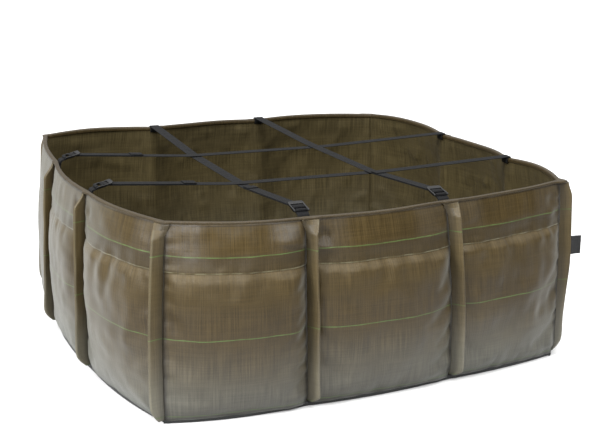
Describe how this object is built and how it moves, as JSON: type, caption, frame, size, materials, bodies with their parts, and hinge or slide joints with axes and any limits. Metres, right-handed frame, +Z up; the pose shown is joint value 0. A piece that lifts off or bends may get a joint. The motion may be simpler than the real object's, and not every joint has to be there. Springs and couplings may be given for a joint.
{
  "type": "fabric grow bag",
  "caption": "Large square soft-sided planting bag, open on top, with stitched outside tucks, a folded cuff, a bound rim and crossing webbing straps that divide the bed.",
  "frame": {"origin": "on the ground under the middle of the four sides' plan", "axes": "+X to the right along the front wall, +Y from the front wall (buckle side of the lengthwise straps) to the back, +Z up"},
  "size_m": [1.1085, 1.1095, 0.4195],
  "materials": {
    "wall_fabric": "taupe-brown woven tape cloth, coated, with a soft satin sheen",
    "lining_felt": "matt brown felt-backed lining",
    "webbing": "black polypropylene webbing with a fine rib",
    "buckle_plastic": "moulded black plastic, fine grain",
    "label_weave": "black woven ribbon, blank"
  },
  "bodies": {
    "bag": {"wall_front_left": "wall_fabric", "wall_front_middle": "wall_fabric", "wall_front_right": "wall_fabric", "wall_right_front": "wall_fabric", "wall_right_middle": "wall_fabric", "wall_right_back": "wall_fabric", "wall_back_right": "wall_fabric", "wall_back_middle": "wall_fabric", "wall_back_left": "wall_fabric", "wall_left_back": "wall_fabric", "wall_left_middle": "wall_fabric", "wall_left_front": "wall_fabric", "tuck_corner_front_left": "wall_fabric", "tuck_front_left_middle": "wall_fabric", "tuck_front_middle_right": "wall_fabric", "tuck_corner_front_right": "wall_fabric", "tuck_right_front_middle": "wall_fabric", "tuck_right_middle_back": "wall_fabric", "tuck_corner_back_right": "wall_fabric", "tuck_back_right_middle": "wall_fabric", "tuck_back_middle_left": "wall_fabric", "tuck_corner_back_left": "wall_fabric", "tuck_left_back_middle": "wall_fabric", "tuck_left_middle_front": "wall_fabric", "rim_binding": "wall_fabric", "base_tray": "wall_fabric", "lining_front": "lining_felt", "lining_right": "lining_felt", "lining_back": "lining_felt", "lining_left": "lining_felt", "lining_floor": "lining_felt", "buckle_loop_lengthwise_left": "webbing", "strap_lengthwise_left": "webbing", "end_anchor_lengthwise_left": "webbing", "buckle_loop_lengthwise_right": "webbing", "strap_lengthwise_right": "webbing", "end_anchor_lengthwise_right": "webbing", "buckle_loop_crosswise_front": "webbing", "strap_crosswise_front": "webbing", "end_anchor_crosswise_front": "webbing", "buckle_loop_crosswise_back": "webbing", "strap_crosswise_back": "webbing", "end_anchor_crosswise_back": "webbing"},
    "buckle_lengthwise_left": {"buckle_lengthwise_left": "buckle_plastic"},
    "tail_lengthwise_left": {"tail_lengthwise_left": "webbing"},
    "buckle_lengthwise_right": {"buckle_lengthwise_right": "buckle_plastic"},
    "tail_lengthwise_right": {"tail_lengthwise_right": "webbing"},
    "buckle_crosswise_front": {"buckle_crosswise_front": "buckle_plastic"},
    "tail_crosswise_front": {"tail_crosswise_front": "webbing"},
    "buckle_crosswise_back": {"buckle_crosswise_back": "buckle_plastic"},
    "tail_crosswise_back": {"tail_crosswise_back": "webbing"},
    "label": {"label": "label_weave"}
  },
  "joints": [
    {"name": "buckle_tilt_lengthwise_left", "type": "hinge", "parent": "bag", "child": "buckle_lengthwise_left", "pos_m": [-0.17929, -0.48431, 0.41041], "axis": [0.9998, -0.0198, 0], "range_deg": [0, 25]},
    {"name": "tail_slide_lengthwise_left", "type": "slide", "parent": "bag", "child": "tail_lengthwise_left", "axis": [-0.0197, -0.9964, 0.082], "range_m": [0, 0.06]},
    {"name": "buckle_tilt_lengthwise_right", "type": "hinge", "parent": "bag", "child": "buckle_lengthwise_right", "pos_m": [0.14482, -0.46931, 0.41041], "axis": [1, 0.0049, 0], "range_deg": [0, 25]},
    {"name": "tail_slide_lengthwise_right", "type": "slide", "parent": "bag", "child": "tail_lengthwise_right", "axis": [0.0049, -0.9978, 0.0656], "range_m": [0, 0.06]},
    {"name": "buckle_tilt_crosswise_front", "type": "hinge", "parent": "bag", "child": "buckle_crosswise_front", "pos_m": [-0.48432, -0.15105, 0.41041], "axis": [-0.0294, -0.9996, 0], "range_deg": [0, 25]},
    {"name": "tail_slide_crosswise_front", "type": "slide", "parent": "bag", "child": "tail_crosswise_front", "axis": [-0.9968, 0.0293, 0.0738], "range_m": [0, 0.06]},
    {"name": "buckle_tilt_crosswise_back", "type": "hinge", "parent": "bag", "child": "buckle_crosswise_back", "pos_m": [-0.46933, 0.16376, 0.41041], "axis": [-0.0348, -0.9994, 0], "range_deg": [0, 25]},
    {"name": "tail_slide_crosswise_back", "type": "slide", "parent": "bag", "child": "tail_crosswise_back", "axis": [-0.9967, 0.0347, 0.0738], "range_m": [0, 0.06]},
    {"name": "label_flap", "type": "hinge", "parent": "bag", "child": "label", "pos_m": [0.50352, -0.45104, 0.253], "axis": [0, 0, 1], "range_deg": [-60, 60]}
  ]
}
